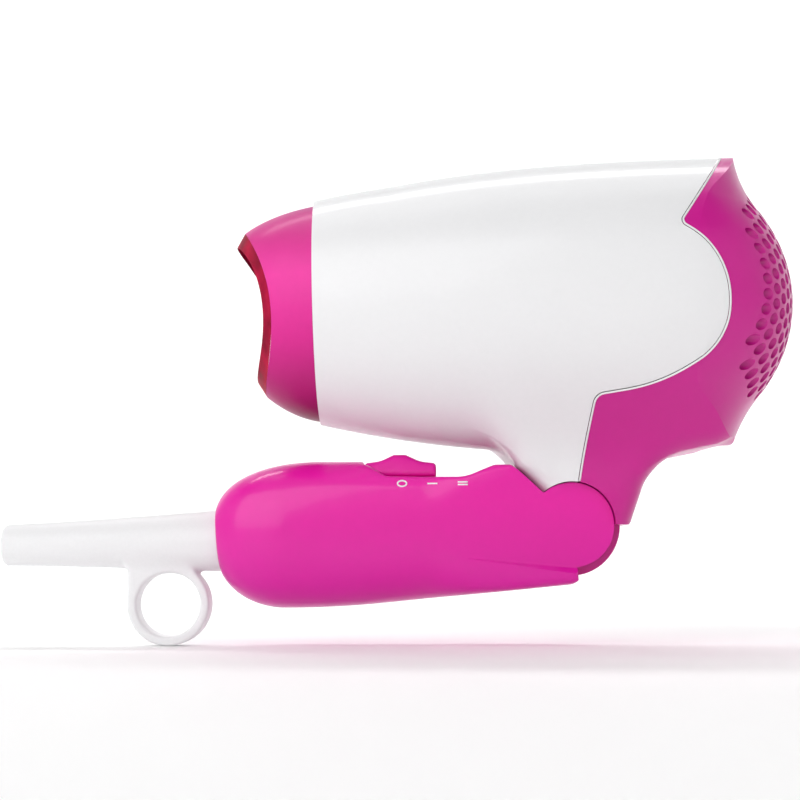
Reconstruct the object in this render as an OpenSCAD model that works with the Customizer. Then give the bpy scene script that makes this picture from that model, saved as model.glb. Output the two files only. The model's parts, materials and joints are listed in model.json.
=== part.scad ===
// Folding travel hair dryer: an air body with its heater, motor and fan, a neck with a drum hinge, a handle that
// folds under the body, a three-position slide switch, and a strain relief with a hanging ring.
// The hinge is at (hinge_x, 0, hinge_z). Outlines are [x, z, corner radius] lists measured from the hinge.
// Lengths along the body are measured on its tilted axis, from the point above the hinge.

/* [Body] */
// Largest outer radius of the air body, at its rear ridge
body_r = 42.2; // [41.8:0.1:42.8]
// Angle by which the body's axis rises towards the rear
body_tilt = 1.6; // [1:0.1:2]
// Wall thickness of the two body shells
wall = 2.2; // [1.8:0.1:2.4]
// Wall thickness of the nozzle
nozzle_wall = 2.4; // [2:0.1:2.6]

/* [Intake] */
// Radius of the domed rear end
dome_r = 43.4; // [43:0.1:44]
// Distance between neighbouring intake holes
hole_pitch = 4.3; // [4.2:0.1:5.4]
// Diameter of one intake hole
hole_d = 3.2; // [2:0.1:3.4]
// Radius of the field of intake holes
field_r = 36; // [22:0.5:37]
// The field of intake holes stops this far above and below its middle
field_half_h = 28.5; // [20:0.5:30]

/* [Fan] */
// Number of fan blades
blades = 7; // [5:1:9]
// Pitch angle of the fan blades
blade_pitch = 32; // [20:1:40]

/* [Hinge] */
// Radius of the handle's two cheek discs
cheek_r = 12.2; // [11.6:0.1:12.4]
// Radius of the neck's drum between the cheeks
drum_r = 14.1; // [13.6:0.1:14.2]
// Gap between pieces that move past each other
gap = 0.35; // [0.3:0.01:0.4]
// Radius of the two hinge pins
pin_r = 3; // [2.6:0.1:3.2]

/* [Handle] */
// Half of the handle's width
grip_half_w = 17; // [16.6:0.1:17.4]
// Distance the switch slides from one mark to the next
switch_step = 8.4; // [8:0.1:8.4]

/* [Cord outlet] */
// Radius of the hole for the mains cord
cord_r = 3.3; // [2.5:0.1:3.5]
// Inner radius of the hanging ring
ring_r = 9; // [8:0.1:9.4]

/* [Hidden] */

hinge_x = 47.1;
hinge_z = 33.9;
axis_h = 64.2;                          // height of the body's axis above the hinge
seam_x = -71.5;                         // joint between front shell and nozzle
ridge_x = 50;
tail_x = 72;
nose_drop = 10;
nose_power = 2.8;
skin_steps = 14;
far = 200;                              // larger than the whole dryer, for cutting shapes
nudge = 0.05;                           // cuts run past a face by this much
fine = 96;
medium = 48;
small = 24;

dome_x = 23.6;
dome_z = 66.2;
upper_flare = [40, 26.2, 41.4];         // [angle where the flare leaves the dome, ridge radius, ridge height]
lower_flare = [41.5, 24.4, 42.4];

nozzle_arc_r = 46;
nozzle_arc_tilt = 8;                    // slope of the nozzle's outline at the seam
mouth_cut_r = 32;
spigot_r = 29.8;
spigot_bore = 28.7;

neck_half_w = grip_half_w;
drum_half_w = 9.05;
slot_half_w = drum_half_w + gap;
window_half_w = 3;                      // opening in the drum that lets the leads through

cavity_half_w = grip_half_w - 2.4;
channel_half_w = 8.9;
slider_half_w = channel_half_w - gap;
channel_floor = 13.4;
cavity_top = 11;
switch_x = -47.7;                       // middle of the slider in its off position
relief_tilt = 1.2;
relief_z = -4.2;
relief_end_x = -161.2;
ring_x = -112.7;
ring_z = -22.1;
ring_wall = 2.8;
ring_half_w = 4.8;

white = [0.93, 0.93, 0.94];
pink = [0.87, 0.17, 0.55];
clear_pink = [0.93, 0.2, 0.6, 0.6];
mica = [0.8, 0.72, 0.55];
steel = [0.72, 0.73, 0.75];
wire_metal = [0.6, 0.56, 0.52];
dark = [0.12, 0.12, 0.13];
brass = [0.8, 0.65, 0.35];
copper_red = [0.6, 0.12, 0.1];
board_green = [0.1, 0.35, 0.2];

// ---- outlines -------------------------------------------------------------------------------------------------

// Seam between the white front shell and the pink rear shell, seen from the side; the rear shell is inside it.
seam_tongue = [13.4, 60, 25];           // [x, z, radius] of the white tongue's round end
seam_tongue_start = 58;
seam_tongue_end = -101;
rear_zone = concat(
    [[far, 126], [58.8, 126]],
    rounded_corner([58.8, 126], [28, 80.8, 1.5], [30.5, 76]),
    arc_points(seam_tongue, seam_tongue_start - 12, seam_tongue_end, 20),
    rounded_corner([13, 35.2], [5.9, 34.2, 3], [2.1, 11.4]),
    [[0, 0], [0, -far], [far, -far]]);

neck_side = [[-26, 40, 0], [-26, 23.4, 0], [-19.6, 21.4, 4], [-14.6, 15.9, 3], [-8.6, 9.55, 0], [0, 0, 0],
    [9, 0.4, 0], [16.3, 0.7, 0], [17.5, 1.7, 0], [21.1, 14.2, 12], [29.5, 21, 10], [45, 22.6, 0], [46, 40, 0]];
neck_plan = [[-27, -8, 5], [-15, -neck_half_w, 10], [21, -neck_half_w, 8], [34, -10, 10], [48, -4, 0],
    [48, 4, 0], [34, 10, 10], [21, neck_half_w, 8], [-15, neck_half_w, 10], [-27, 8, 5]];
neck_cavity = [[-11, 16, 1], [-13, 30, 0], [22, 30, 0], [16, 16, 1]];

grip_side = [[-98.3, -14.3, 3], [-100, 3.2, 10], [-97, 12.3, 6], [-79, 18.4, 45], [-57.6, 18.4, 0],
    [-51.6, 13.5, 2], [-29, 13.4, 10], [-21, 16.8, 0], [-16.8, 16.8, 0], [-9.3, 9.7, 0], [0, 0, 0],
    [1.75, -12.2, 0], [2.2, -14.9, 0], [0.6, -16.4, 0], [-70, -23.3, 60], [-82, -23.3, 20], [-91, -21, 12]];
grip_plan = [[-100.5, -13, 5], [-96, -grip_half_w, 8], [20, -grip_half_w, 0], [20, grip_half_w, 0],
    [-96, grip_half_w, 8], [-100.5, 13, 5]];
grip_upper = [[-grip_half_w, -60, 0], [-grip_half_w, 6, 8], [-10.4, 14.4, 9], [-4, 19, 6],
    [4, 19, 6], [10.4, 14.4, 9], [grip_half_w, 6, 8], [grip_half_w, -60, 0]];
grip_lower = [[-grip_half_w, 60, 0], [-grip_half_w, -8.5, 7], [-8, -16.5, 7], [8, -16.5, 7],
    [grip_half_w, -8.5, 7], [grip_half_w, 60, 0]];
hollow_upper = [[-cavity_half_w, -60, 0], [-cavity_half_w, 5, 6], [-9.5, cavity_top, 3], [9.5, cavity_top, 3],
    [cavity_half_w, 5, 6], [cavity_half_w, -60, 0]];
hollow_lower = [[-cavity_half_w, 60, 0], [-cavity_half_w, -7.4, 6], [-7, -13.9, 5], [7, -13.9, 5],
    [cavity_half_w, -7.4, 6], [cavity_half_w, 60, 0]];
grip_slope = 5.4;                       // the handle's underside rises towards the hinge
grip_cavity = [[-96.5, -11, 4], [-96.5, 4, 6], [-88, cavity_top, 6], [-20, cavity_top, 0], [-17.8, 5, 2],
    [-17.8, -8, 3], [-22, -14.6, 2], [-70, -20.4, 20], [-88, -19.6, 8]];

slider_side = [[-57.7, cavity_top + 2.75, 0.5], [-57.7, 17.8, 0.5], [-53.5, 18.3, 6], [-49.4, 20, 0.8],
    [-46.1, 20, 0.8], [-41.8, 18.1, 6], [-37.4, 17.6, 1.2], [-37.4, cavity_top + 2.75, 0.5]];

// ---- helpers --------------------------------------------------------------------------------------------------

function unit(v) = v / norm(v);
function flat(p) = [p[0], p[1]];
function turn_by(v, a) = [v[0] * cos(a) - v[1] * sin(a), v[0] * sin(a) + v[1] * cos(a)];

// Points of an arc round a circle given as [x, y, radius].
function arc_points(ring, a0, a1, steps) =
    [for (k = [0:steps]) let (a = a0 + (a1 - a0) * k / steps)
        [ring[0] + ring[2] * cos(a), ring[1] + ring[2] * sin(a)]];

// A corner [x, y, radius] between two neighbours, as the points of its arc.
function rounded_corner(before, corner, after, steps = 6) =
    let (
        p = flat(corner),
        a = unit(flat(before) - p),
        b = unit(flat(after) - p),
        half = acos(a * b) / 2,
        start = p + a * corner[2] / tan(half),
        centre = p + unit(a + b) * corner[2] / sin(half),
        side = cross(a, b) > 0 ? -1 : 1
    )
    [for (k = [0:steps]) centre + turn_by(start - centre, side * (180 - 2 * half) * k / steps)];

// Outline of a corner list, each corner with a radius replaced by an arc.
function rounded(corners) =
    let (n = len(corners))
    [for (i = [0:n - 1])
        each corners[i][2] == 0 ? [flat(corners[i])]
            : rounded_corner(corners[(i + n - 1) % n], corners[i], corners[(i + 1) % n])];

module at_hinge() translate([hinge_x, 0, hinge_z]) children();

module along_body() at_hinge() translate([0, 0, axis_h]) rotate([0, -body_tilt, 0]) children();

module side_prism(outline, half_w) rotate([90, 0, 0])
    linear_extrude(2 * half_w, center = true) polygon(outline);

module section_prism(outline) rotate([90, 0, 90])
    linear_extrude(2 * far, center = true) polygon(outline);

module plan_prism(outline) linear_extrude(2 * far, center = true) polygon(outline);

// A solid turned about the X axis from an outline of [x, radius] points.
module turned(outline, steps = fine) rotate([0, 90, 0])
    rotate_extrude($fn = steps) polygon([for (p = outline) [p[1], p[0]]]);

module rod(x0, x1, r, steps = medium) translate([x0, 0, 0]) rotate([0, 90, 0]) cylinder(x1 - x0, r = r, $fn = steps);

module tube(x0, x1, r_out, r_in, steps = fine) difference() {
    rod(x0, x1, r_out, steps);
    rod(x0 - nudge, x1 + nudge, r_in, steps);
}

module cross_rod(y0, y1, r, steps = medium) translate([0, y1, 0]) rotate([90, 0, 0])
    cylinder(y1 - y0, r = r, $fn = steps);

module box(low, high) translate(low) cube(high - low);

// Round wire through a list of points.
module wire(points, r) {
    for (i = [1:len(points) - 1]) {
        step = points[i] - points[i - 1];
        translate(points[i - 1])
            rotate([0, acos(step[2] / norm(step)), atan2(step[1], step[0])])
                cylinder(norm(step), r = r, $fn = small);
    }
    for (i = [1:1:len(points) - 2]) translate(points[i]) sphere(r * 1.08, $fn = small);
}

module both_sides() {
    children();
    mirror([0, 1, 0]) children();
}

// ---- body form ------------------------------------------------------------------------------------------------

function body_radius(x) = body_r - nose_drop * pow(max(0, (ridge_x - x) / (ridge_x - seam_x)), nose_power);

module body_skin(inset, front_x) turned(concat(
    [[front_x, 0], [front_x, body_radius(seam_x) - inset]],
    [for (k = [0:skin_steps]) let (x = seam_x + (ridge_x - seam_x) * k / skin_steps) [x, body_radius(x) - inset]],
    [[tail_x, body_r - inset], [tail_x, 0]]));

// Ring-shaped brow that flares from the dome out to the ridge, above or below it.
module brow(flare, side) {
    out = [cos(flare[0]), sin(flare[0])];
    leave = dome_r * out;
    reach = [flare[1], flare[2]] - leave;
    flare_r = reach * reach / (2 * out * reach);
    mirror([0, 0, side])
        rotate_extrude($fn = fine) difference() {
            square([leave[0], flare[2] + 6]);
            translate(leave + flare_r * out) circle(flare_r, $fn = fine);
        }
}

module rear_limit(inset, brows) at_hinge() {
    box([-far, -far, -far], [dome_x, far, far]);
    translate([dome_x, 0, dome_z]) {
        sphere(dome_r - inset, $fn = fine);
        if (brows) {
            brow(upper_flare, 0);
            brow(lower_flare, 1);
        }
    }
}

module body_outside() intersection() {
    along_body() body_skin(0, seam_x);
    rear_limit(0, true);
}

module body_inside() intersection() {
    along_body() body_skin(wall, seam_x - 1);
    rear_limit(wall, false);
}

module neck_outside() at_hinge() difference() {
    intersection() {
        side_prism(rounded(neck_side), neck_half_w);
        plan_prism(rounded(neck_plan));
    }
    cross_rod(-far, far, cheek_r + gap, fine);
}

module body_shell() difference() {
    union() {
        body_outside();
        neck_outside();
    }
    body_inside();
    at_hinge() side_prism(rounded(neck_cavity), neck_half_w - wall);
}

module neck_screw_places() at_hinge() both_sides() translate([0, 10.5, 20]) children();

// ---- shells ---------------------------------------------------------------------------------------------------

module front_shell() color(white) difference() {
    union() {
        difference() {
            body_shell();
            at_hinge() side_prism(rear_zone, far);
        }
        neck_screw_places() rod(-13, 3.4, 2.9);
    }
    neck_screw_places() rod(-9, 10, 1.25);
    at_hinge() {
        cross_rod(-drum_half_w - gap, drum_half_w + gap, drum_r + nudge, fine);
        lead_window();
    }
}

module rear_shell() color(pink) difference() {
    union() {
        intersection() {
            body_shell();
            at_hinge() side_prism(rear_zone, far);
        }
        neck_screw_places() rod(3.5, 21, 2.9);
        at_hinge() cross_rod(-drum_half_w, drum_half_w, drum_r, fine);
    }
    neck_screw_places() {
        rod(3, 18, 1.6);
        rod(18, 30, 2.8);
    }
    at_hinge() {
        cross_rod(-far, far, pin_r + 0.05);
        both_sides() cross_rod(drum_half_w - 1.2, drum_half_w + nudge, pin_r + 4);
        lead_window();
    }
    intake_holes();
}

// Opening through the middle of the drum, wide enough for the leads in every position of the handle.
module lead_window() {
    box([-2.6, -window_half_w, 0], [2.6, window_half_w, 20]);
    side_prism(concat([[0, 0]], arc_points([0, 0, drum_r + 4], 160, 290, 12)), window_half_w);
    cross_rod(-window_half_w, window_half_w, 5);
}

module intake_holes() at_hinge() translate([0, 0, dome_z])
    for (column = [-9:9], row = [-8:8])
        let (y = column * hole_pitch * sqrt(3) / 2, z = (row + (column % 2 == 0 ? 0 : 0.5)) * hole_pitch)
            if (norm([y, z]) <= field_r && abs(z) <= field_half_h)
                translate([0, y, z]) rod(dome_x + 12, tail_x, hole_d / 2, small);

function nozzle_centre() = [seam_x + nozzle_arc_r * sin(nozzle_arc_tilt),
    body_radius(seam_x) - nozzle_arc_r * cos(nozzle_arc_tilt)];
function nozzle_outline(r, x0, x1) = concat(
    [[x0, 0]],
    [for (k = [0:12]) let (x = x0 + (x1 - x0) * k / 12, c = nozzle_centre())
        [x, c[1] + sqrt(r * r - (x - c[0]) * (x - c[0]))]],
    [[x1, 0]]);

module nozzle() color(clear_pink) difference() {
    along_body() {
        difference() {
            turned(nozzle_outline(nozzle_arc_r, seam_x - 26, seam_x));
            turned(nozzle_outline(nozzle_arc_r - nozzle_wall, seam_x - 27, seam_x + nudge));
        }
        tube(seam_x - 3, seam_x + 9, spigot_r, spigot_bore);
    }
    at_hinge() translate([-115.8, 0, 57.1]) cross_rod(-far, far, mouth_cut_r, fine);
}

module outlet_grille() color(dark) along_body() translate([seam_x - 5.5, 0, 0]) {
    for (r = [28.5, 20.5, 12.5]) tube(0, 2, r, r - 1.4);
    tube(0, 2, 5.5, 3);
    for (a = [0:60:300]) rotate([a, 0, 0]) box([0.2, -0.7, 4.5], [1.8, 0.7, 27.6]);
}

// ---- heater ---------------------------------------------------------------------------------------------------

barrel_x0 = -68;
barrel_x1 = -24;
coil_r = 20;
coil_wire = 0.5;

module heater_barrel() color(mica) along_body() tube(barrel_x0, barrel_x1, 28.6, 28);

module mica_frame() color(mica) along_body() intersection() {
    for (a = [0, 90]) rotate([a, 0, 0]) {
        box([-64, -0.5, -27.8], [-60, 0.5, 27.8]);
        box([-60.1, -0.5, -19.3], [-29.9, 0.5, 19.3]);
        box([-30, -0.5, -27.8], [-26, 0.5, 27.8]);
    }
    rod(-64, -26, 27.8);
}

module heater_coil() color(wire_metal) along_body()
    for (x = [-58:3.5:-31]) translate([x, 0, 0]) rotate([0, 90, 0])
        rotate_extrude($fn = fine) translate([coil_r, 0]) circle(coil_wire, $fn = small);

module thermostat() color(steel) along_body() translate([-29, 9, 9]) {
    rod(0, 4, 5.5);
    rod(4, 6.5, 3);
}

module thermal_fuse() color(brass) along_body() translate([-29, -9, 9]) {
    rod(0, 9, 1.6, small);
    rod(-3, 11, 0.5, small);
}

// ---- motor and fan --------------------------------------------------------------------------------------------

motor_x0 = -14;
motor_x1 = 16;
motor_r = 13.8;
motor_nose_r = 3.1;
terminal_y = 9;
terminal_r = 0.7;
shaft_r = 1;
duct_x0 = 6;
duct_x1 = 33;
duct_r = 38.2;
duct_bore = 36.8;
fan_x0 = 21;
fan_x1 = 32;
fan_r = 36.1;
hub_r = 12;

// Rectifier board behind the motor; the motor's nose and its two terminals go through it.
module motor_board() color(board_green) along_body() difference() {
    rod(motor_x0 - 3.6, motor_x0 - 2, 12.5);
    rod(motor_x0 - 4, motor_x0 - 1, motor_nose_r + 0.1);
    both_sides() translate([0, terminal_y, 0]) rod(motor_x0 - 4, motor_x0 - 1, terminal_r + 0.1, small);
}

module motor_can() color(steel) along_body() difference() {
    union() {
        rod(motor_x0, motor_x1, motor_r);
        rod(motor_x0 - 2, motor_x0 + nudge, motor_nose_r);
        rod(motor_x1 - nudge, motor_x1 + 2, motor_nose_r + 1);
        both_sides() translate([0, terminal_y, 0]) rod(motor_x0 - 4.4, motor_x0 + nudge, terminal_r, small);
    }
    rod(motor_x0 - 3, motor_x1 + 3, shaft_r + 0.05, small);
}

module motor_shaft() color(steel) along_body() rod(motor_x0 - 1.5, fan_x1 - 1, shaft_r, small);

module fan_impeller() color(dark) along_body() difference() {
    union() {
        tube(fan_x0, fan_x1, hub_r, hub_r - 1.5);
        rod(fan_x1 - 2, fan_x1, hub_r);
        rod(fan_x0 - 1, fan_x1, 3);
        intersection() {
            for (i = [0:blades - 1]) rotate([i * 360 / blades, 0, 0])
                translate([(fan_x0 + fan_x1) / 2, 0, (fan_r + hub_r) / 2]) rotate([0, 0, 90 - blade_pitch])
                    cube([12, 1.2, fan_r - hub_r + 6], center = true);
            tube(fan_x0, fan_x1, fan_r, hub_r - 0.8);
        }
    }
    rod(fan_x0 - 2, fan_x1 + 1, shaft_r, small);
}

module fan_duct() color(dark) along_body() {
    tube(duct_x0, duct_x1, duct_r, duct_bore);
    tube(duct_x0, duct_x0 + 2, 39.2, duct_bore);
    tube(duct_x0 - 4, motor_x1 + 1, motor_r + 1.6, motor_r);
    for (a = [22.5:45:360]) rotate([a, 0, 0])
        box([duct_x0, -0.7, motor_r + 1], [motor_x1, 0.7, duct_bore + 0.5]);
}

module intake_screen() color(steel) along_body() {
    tube(38, 40, 34, 32.4);
    intersection() {
        for (y = [-30:6:30]) {
            box([38.4, y - 0.25, -34], [38.9, y + 0.25, 34]);
            box([39.1, -34, y - 0.25], [39.6, 34, y + 0.25]);
            box([38.8, y - 0.25, -34], [39.2, y + 0.25, 34]);
        }
        rod(38, 40, 33);
    }
}

// ---- neck and hinge -------------------------------------------------------------------------------------------

module neck_screws() color(steel) neck_screw_places() {
    rod(18, 19.8, 2.6, small);
    rod(-6, 18 + nudge, 1.2, small);
}

module body_leads() color(copper_red) at_hinge()
    wire([[0, 0, 3.5], [0, 0, 20.5], [-19.5, 0, 33], [-19.5, 0, 53]], 1.4);

module hinge_washers() color(steel) at_hinge() both_sides() difference() {
    cross_rod(drum_half_w - 1.15, drum_half_w - 0.05, pin_r + 3.6);
    cross_rod(0, drum_half_w + 1, pin_r + 0.1);
}

module hinge_pins() color(steel) at_hinge() both_sides() cross_rod(window_half_w + 0.6, grip_half_w - 2.6, pin_r);

// ---- handle ---------------------------------------------------------------------------------------------------

module grip_form() at_hinge() intersection() {
    union() {
        side_prism(rounded(grip_side), grip_half_w);
        cross_rod(-grip_half_w, grip_half_w, cheek_r, fine);
    }
    section_prism(rounded(grip_upper));
    rotate([0, -grip_slope, 0]) section_prism(rounded(grip_lower));
    plan_prism(rounded(grip_plan));
}

module grip_hollows() at_hinge() {
    intersection() {
        side_prism(rounded(grip_cavity), cavity_half_w);
        section_prism(rounded(hollow_upper));
        rotate([0, -grip_slope, 0]) section_prism(rounded(hollow_lower));
    }
    cross_rod(-slot_half_w, slot_half_w, drum_r + gap, fine);
    box([-58.1, -channel_half_w, channel_floor], [-20.1, channel_half_w, 30]);
    box([switch_x - 2.9, -2.1, cavity_top - 1], [switch_x + 2 * switch_step + 2.9, 2.1, 30]);
    both_sides() cross_rod(slot_half_w - 1, grip_half_w - 2.6, pin_r);
    box([-22, -window_half_w, -2.2], [-10, window_half_w, 2.2]);
    along_relief() {
        rod(-110, -97.5, 8.8);
        rod(-110, -94, 6.9);
    }
}

module along_relief() translate([-98, 0, relief_z]) rotate([0, -relief_tilt, 0]) translate([98, 0, 0]) children();

module handle_screw_places() at_hinge() for (p = [[-76, -12], [-27, -8.5]]) translate([p[0], 0, p[1]]) children();

module handle_half(side) difference() {
    union() {
        difference() {
            grip_form();
            grip_hollows();
        }
        handle_screw_places() cross_rod(-cavity_half_w - 1, cavity_half_w + 1, 3.2);
    }
    mirror([0, side, 0]) box([-far, 0, -far], [far, far, far]);
    handle_screw_places() {
        cross_rod(-11, 0, 1.25, small);
        cross_rod(0, 11, 1.6, small);
        cross_rod(8, far, 2.7, small);
    }
}

module handle_half_left() color(pink) handle_half(0);

module handle_half_right() color(pink) handle_half(1);

module handle_screws() color(steel) handle_screw_places() {
    cross_rod(8, 9.8, 2.5, small);
    cross_rod(-9, 8 + nudge, 1.2, small);
}

module switch_slider() color(pink) at_hinge() intersection() {
    union() {
        side_prism(rounded(slider_side), slider_half_w);
        box([switch_x - 2.5, -1.7, cavity_top - 2.6], [switch_x + 2.5, 1.7, channel_floor + 1]);
    }
    section_prism([[-slider_half_w, 0], [-slider_half_w, 16.2], [-6, 21], [6, 21], [slider_half_w, 16.2],
        [slider_half_w, 0]]);
}

module switch_body() color(dark) at_hinge() difference() {
    box([-57, -7, -3], [-23, 7, cavity_top]);
    box([switch_x - 3.5, -2.2, cavity_top - 3.2], [switch_x + 2 * switch_step + 3.5, 2.2, 20]);
}

module handle_leads() color(copper_red) at_hinge() {
    wire([[-23, 0, 0], [-1.6, 0, 0]], 1.4);
    wire([[-57.8, 0, -1.3], [-66, 0, -4.5], [-83, 0, -4.5]], 1.4);
}

module cord_clamp() color(dark) at_hinge() difference() {
    box([-90, -cavity_half_w, -10], [-83, cavity_half_w, 1]);
    translate([0, 0, -4.5]) rod(-91, -82, cord_r);
}

// ---- cord outlet ----------------------------------------------------------------------------------------------

relief_outline = [[relief_end_x, 4.6], [relief_end_x + 1.2, 5.8], [-145, 6.3], [-133, 6.8], [-110, 8.1], [-100, 8.65],
    [-97.7, 8.65]];

module strain_relief() color(white) at_hinge() difference() {
    union() {
        along_relief() {
            turned(concat([[relief_end_x, 0]], relief_outline, [[-97.7, 0]]), medium);
            rod(-99, -93.8, 6.8);
            rod(-94.1, -92, 8.4);
        }
        translate([ring_x, 0, ring_z]) {
            cross_rod(-ring_half_w, ring_half_w, ring_r + ring_wall);
            box([-ring_r - ring_wall, -ring_half_w, 0], [-5, ring_half_w, 14]);
        }
    }
    translate([ring_x, 0, ring_z]) cross_rod(-far, far, ring_r);
    along_relief() rod(-far, 0, cord_r);
}

// ---- nodes ----------------------------------------------------------------------------------------------------

front_shell();
rear_shell();
nozzle();
outlet_grille();
heater_barrel();
mica_frame();
heater_coil();
thermostat();
thermal_fuse();
motor_board();
motor_can();
motor_shaft();
fan_impeller();
fan_duct();
intake_screen();
neck_screws();
body_leads();
hinge_washers();
hinge_pins();
handle_half_left();
handle_half_right();
handle_screws();
switch_slider();
switch_body();
handle_leads();
cord_clamp();
strain_relief();
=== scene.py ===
import json
import math

import bpy
import numpy as np
from mathutils import Matrix, Vector


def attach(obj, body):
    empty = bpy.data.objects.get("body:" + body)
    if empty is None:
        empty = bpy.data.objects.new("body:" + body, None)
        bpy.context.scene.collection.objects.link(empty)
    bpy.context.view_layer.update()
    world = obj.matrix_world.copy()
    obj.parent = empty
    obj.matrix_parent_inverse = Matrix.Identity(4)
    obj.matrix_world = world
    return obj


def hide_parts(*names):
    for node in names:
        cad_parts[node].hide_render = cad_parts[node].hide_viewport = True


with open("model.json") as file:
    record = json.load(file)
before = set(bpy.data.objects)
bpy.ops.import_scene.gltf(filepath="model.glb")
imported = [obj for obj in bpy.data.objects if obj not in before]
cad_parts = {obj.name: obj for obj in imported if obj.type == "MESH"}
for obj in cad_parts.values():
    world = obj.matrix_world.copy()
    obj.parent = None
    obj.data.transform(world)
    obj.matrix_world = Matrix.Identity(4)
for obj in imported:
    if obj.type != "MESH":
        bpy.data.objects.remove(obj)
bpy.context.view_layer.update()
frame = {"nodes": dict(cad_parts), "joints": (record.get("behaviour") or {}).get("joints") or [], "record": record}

# Every piece of the dryer is described in millimetres from the handle's hinge, X towards the intake and Z up,
# and moves into the row frame when it is finished. The stage, lights and camera are in the row frame's metres.
JOINTS = {joint["name"]: joint for joint in frame["joints"]}
HINGE = Vector(JOINTS["handle_fold"]["pos_m"])
MM = 0.001
TO_FRAME = Matrix.Translation(HINGE) @ Matrix.Scale(MM, 4)

FAR = 90.0                       # past the dryer to both sides and below, for cutters
TILT = math.radians(1.6)         # slope of the air body's axis
AXIS_H = 64.2                    # height of that axis above the hinge
SEAM_S = -71.5                   # distance along it of the joint between the shell and the nozzle
BODY_R = 42.18
TAPER_START = 50.0               # the body narrows from here to the nozzle
TAPER_DROP = 10.0
WALL = 2.2
DOME_X = 24.2                    # centre of the domed rear end
DOME_Z = 63.7
DOME_R = 41.2
DRUM_R = 14.1                    # hinge drum, between the handle's cheeks
DRUM_W = 9.05                    # half of the drum's width
GRIP_W = 17.0                    # half of the grip's width
CHEEK_R = 11.6
GAP = 0.35                       # clearance between pieces that move against each other
SWITCH_X = -47.7                 # middle of the switch knob at the off mark
SWITCH_STEP = 8.4
SWITCH_TRAVEL = 2 * SWITCH_STEP


# ---- outlines and fields -------------------------------------------------------------------------


def rounded(corners, steps=8):
    """Outline of [x, z, radius] corners, each corner with a radius replaced by an arc."""
    points = []
    for index, (x, z, radius) in enumerate(corners):
        corner = np.array([x, z], float)
        if radius == 0:
            points.append(corner)
            continue
        before = np.array(corners[index - 1][:2], float) - corner
        after = np.array(corners[(index + 1) % len(corners)][:2], float) - corner
        before /= np.linalg.norm(before)
        after /= np.linalg.norm(after)
        half = math.acos(np.clip(before @ after, -1, 1)) / 2
        middle = before + after
        centre = corner + middle / np.linalg.norm(middle) * radius / math.sin(half)
        start = corner + before * radius / math.tan(half) - centre
        side = -1 if before[0] * after[1] - before[1] * after[0] > 0 else 1
        for step in range(steps + 1):
            turn = side * (math.pi - 2 * half) * step / steps
            points.append(centre + rotated(start, turn))
    return np.array(points)


def rotated(vector, turn):
    cos, sin = math.cos(turn), math.sin(turn)
    return np.array([vector[0] * cos - vector[1] * sin, vector[0] * sin + vector[1] * cos])


def arc(centre, radius, start, end, steps):
    angles = np.radians(np.linspace(start, end, steps + 1))
    return np.stack([centre[0] + radius * np.cos(angles), centre[1] + radius * np.sin(angles)], axis=1)


def outline_distance(outline, x, z):
    """Signed distance to a closed outline, negative inside it."""
    nearest = np.full(np.broadcast(x, z).shape, 1e9)
    inside = np.zeros(nearest.shape, bool)
    for a, b in zip(outline, np.roll(outline, -1, axis=0)):
        edge = b - a
        dx, dz = x - a[0], z - a[1]
        along = np.clip((dx * edge[0] + dz * edge[1]) / (edge @ edge), 0, 1)
        nearest = np.minimum(nearest, (dx - along * edge[0]) ** 2 + (dz - along * edge[1]) ** 2)
        if edge[1] != 0:
            inside ^= ((a[1] <= z) != (b[1] <= z)) & (dx < dz * edge[0] / edge[1])
    return np.where(inside, -1, 1) * np.sqrt(nearest)


def soft_max(a, b, size):
    """The larger of two fields, with a rounded edge of about that size between them."""
    near = np.maximum(size - np.abs(a - b), 0)
    return np.maximum(a, b) + near * near / (4 * size)


def soft_min(a, b, size):
    return -soft_max(-a, -b, size)


def ramp(value, start, end):
    part = np.clip((value - start) / (end - start), 0, 1)
    return part * part * (3 - 2 * part)


def axis_place(x, z):
    """Distance along the body's tilted axis, and height above it."""
    along = x * math.cos(TILT) + (z - AXIS_H) * math.sin(TILT)
    above = (z - AXIS_H) * math.cos(TILT) - x * math.sin(TILT)
    return along, above


def body_radius(along):
    part = np.clip((TAPER_START - along) / (TAPER_START - SEAM_S), 0, None)
    return BODY_R - TAPER_DROP * part ** 2.8


def body_field(x, y, z):
    """The round air body, a little full below and a little flat above."""
    along, above = axis_place(x, z)
    rho = np.sqrt(y * y + above * above) + 1e-9
    belly = 1.8 * ramp(along, -130, -10) * (1 - ramp(along, 15, 48)) * np.clip(-above / rho, 0, 1) ** 2
    crown = 1.0 * ramp(along, -75, -45) * np.clip(above / rho, 0, 1) ** 2
    return rho - body_radius(along) - belly + crown


NECK_SIDE = rounded([
    (-14.5, 60, 0), (-15.2, 24, 0), (-14.6, 15.9, 2), (-8, 9, 0), (8, -14, 0), (12.3, -14, 0),
    (17.3, 1.7, 0), (20.8, 11.6, 14), (26.3, 21.5, 14), (38.4, 25.5, 0), (38.4, 60, 0),
])
NECK_END = np.array([(-60, 0.1), (16.0, 0.1), (19.3, 3.4), (90, 3.4), (90, -60), (-60, -60)])


def air_field(x, y, z):
    """The air body with its neck, blended together."""
    neck = soft_max(outline_distance(NECK_SIDE, x, z), np.abs(y) - GRIP_W, 8)
    blend = 8 + 8 * np.clip(np.abs(y) / GRIP_W, 0, 1) ** 2
    return soft_min(body_field(x, y, z), neck, blend)


# Above (1) and below (-1) the dome's middle: degrees where the flare starts, radius and height of its ridge,
# and how far and how steeply the centre of the level sections moves forwards.
FLARES = {1: (38, 24.2, 42.6, 10.0, 5), -1: (40, 23.6, 39.9, 1.3, 3)}


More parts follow.
